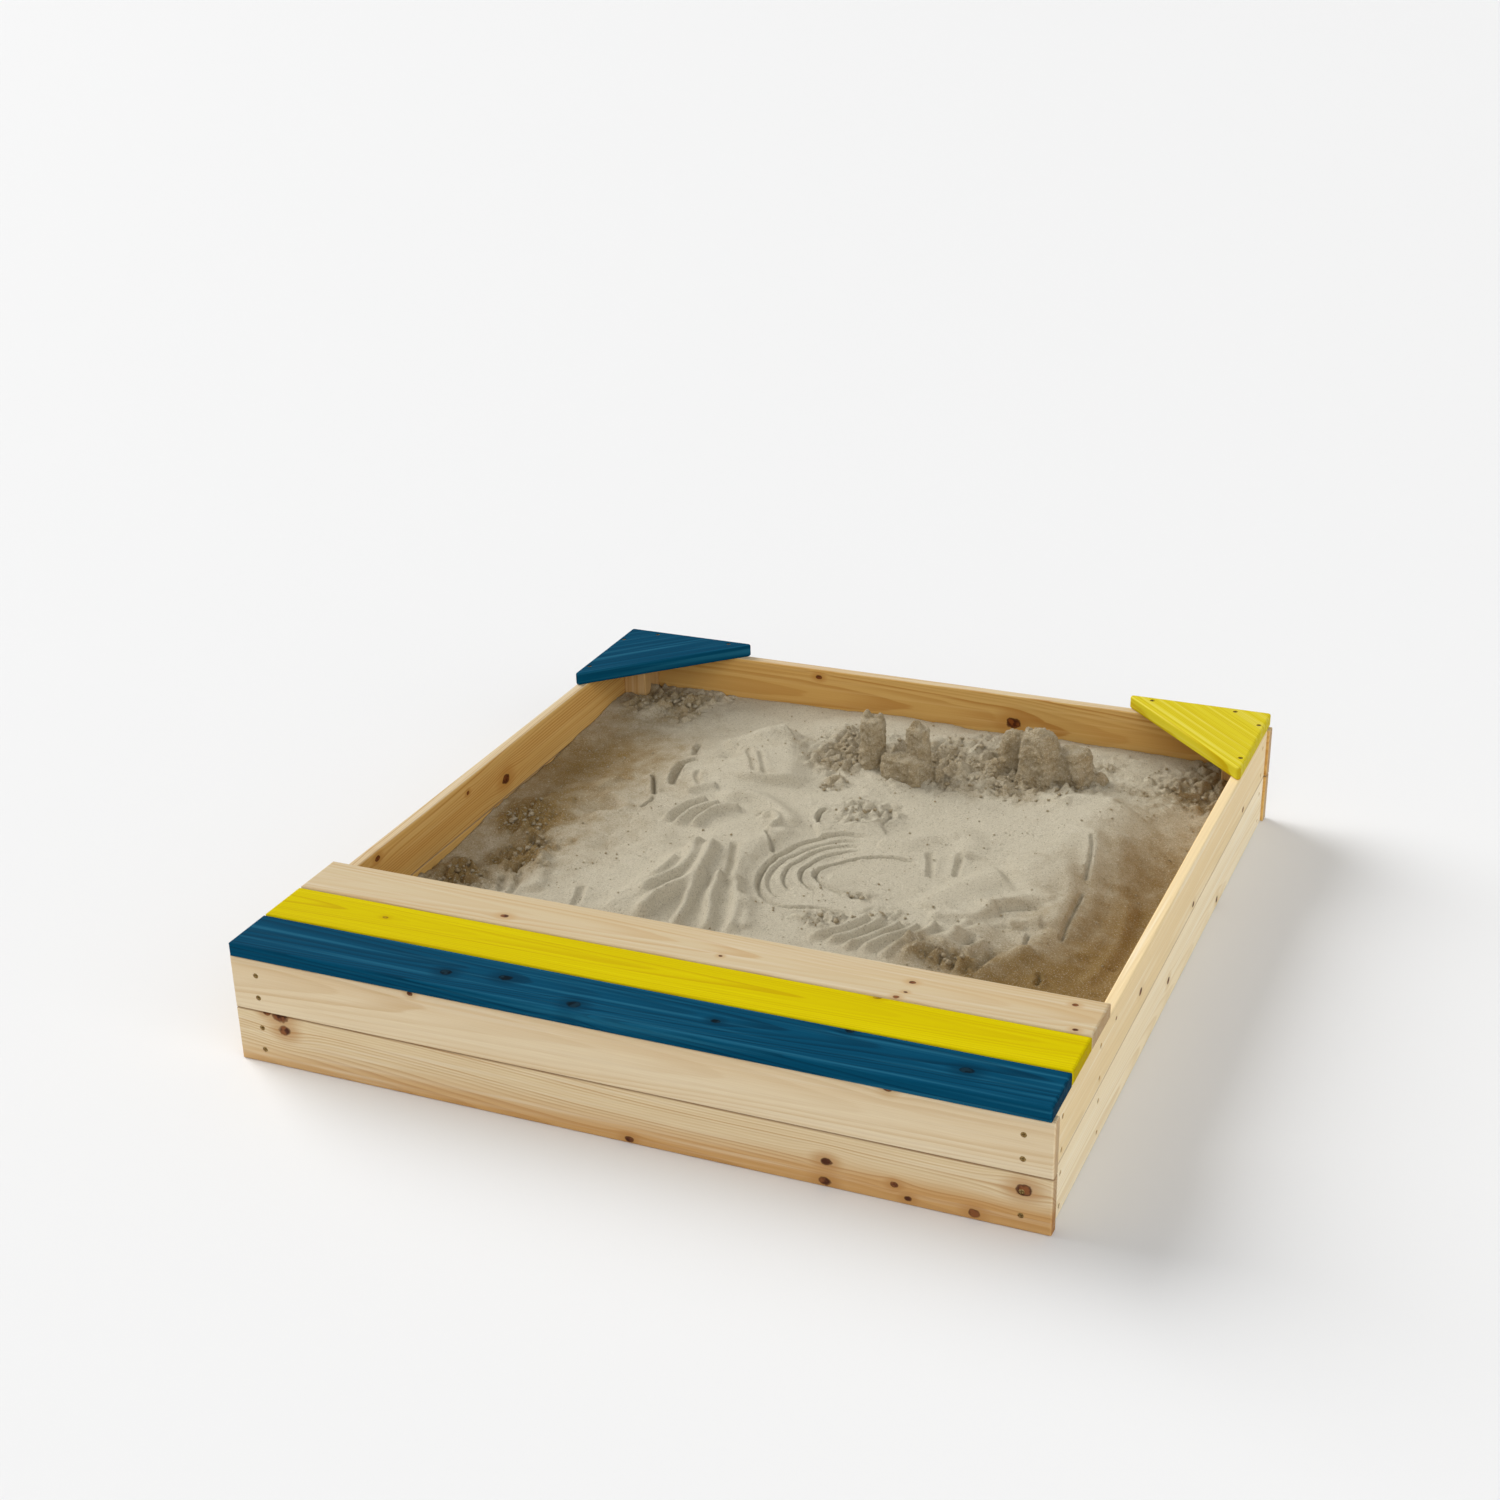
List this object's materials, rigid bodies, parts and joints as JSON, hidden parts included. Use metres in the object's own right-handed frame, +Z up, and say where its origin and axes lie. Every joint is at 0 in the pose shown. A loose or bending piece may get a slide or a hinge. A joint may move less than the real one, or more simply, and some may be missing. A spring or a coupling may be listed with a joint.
{
  "type": "sandbox",
  "caption": "Low wooden sandbox filled with sand, with two triangular corner seats at the back and a hinged plank bench over a storage space along the front wall.",
  "frame": {"origin": "middle of the footprint, on the ground under the walls", "axes": "+Z up; the front wall with the storage bench faces -Y, the wall with the corner seats is at +Y; +X is to the right seen from the front"},
  "size_m": [1.18, 1.29, 0.1884],
  "materials": {
    "softwood_pale": "matte",
    "softwood_warm": "matte",
    "softwood_rough": "matte",
    "wood_stained_blue": "satin",
    "wood_stained_yellow": "satin",
    "zinc_plated_steel": "satin",
    "yellow_zinc_screws": "satin",
    "liner_fabric": "matte",
    "sand": "matte",
    "cover_fabric": "matte"
  },
  "bodies": {
    "frame": {"front_board_upper": "softwood_pale", "front_board_lower": "softwood_warm", "back_board_upper": "softwood_pale", "back_board_lower": "softwood_warm", "left_board_upper": "softwood_pale", "left_board_lower": "softwood_warm", "right_board_upper": "softwood_pale", "right_board_lower": "softwood_warm", "divider_board_upper": "softwood_pale", "divider_board_lower": "softwood_warm", "post_front_left": "softwood_rough", "post_front_right": "softwood_rough", "post_back_left": "softwood_rough", "post_back_right": "softwood_rough", "divider_cleat_left": "softwood_rough", "divider_cleat_right": "softwood_rough", "corner_seat_blue": "wood_stained_blue", "corner_seat_yellow": "wood_stained_yellow", "hinge_wall_leaf_left": "zinc_plated_steel", "hinge_wall_leaf_right": "zinc_plated_steel", "hinge_pin_left": "zinc_plated_steel", "hinge_pin_right": "zinc_plated_steel", "front_wall_screws": "yellow_zinc_screws", "back_wall_screws": "yellow_zinc_screws", "left_wall_screws": "yellow_zinc_screws", "right_wall_screws": "yellow_zinc_screws", "divider_screws": "yellow_zinc_screws", "seat_screws_blue": "yellow_zinc_screws", "seat_screws_yellow": "yellow_zinc_screws", "hinge_wall_screws": "zinc_plated_steel", "ground_sheet": "liner_fabric", "sand_bed": "sand", "stowed_cover": "cover_fabric"},
    "lid": {"bench_plank_natural": "softwood_pale", "bench_plank_yellow": "wood_stained_yellow", "bench_plank_blue": "wood_stained_blue", "lid_batten_left": "softwood_rough", "lid_batten_middle": "softwood_rough", "lid_batten_right": "softwood_rough", "hinge_lid_leaf_left": "zinc_plated_steel", "hinge_lid_leaf_right": "zinc_plated_steel", "batten_screws": "yellow_zinc_screws", "hinge_lid_screws": "zinc_plated_steel"}
  },
  "joints": [
    {"name": "lid_hinge", "type": "hinge", "parent": "frame", "child": "lid", "pos_m": [0, -0.3714, 0.1662], "axis": [-1, 0, 0], "range_deg": [0, 98]}
  ]
}
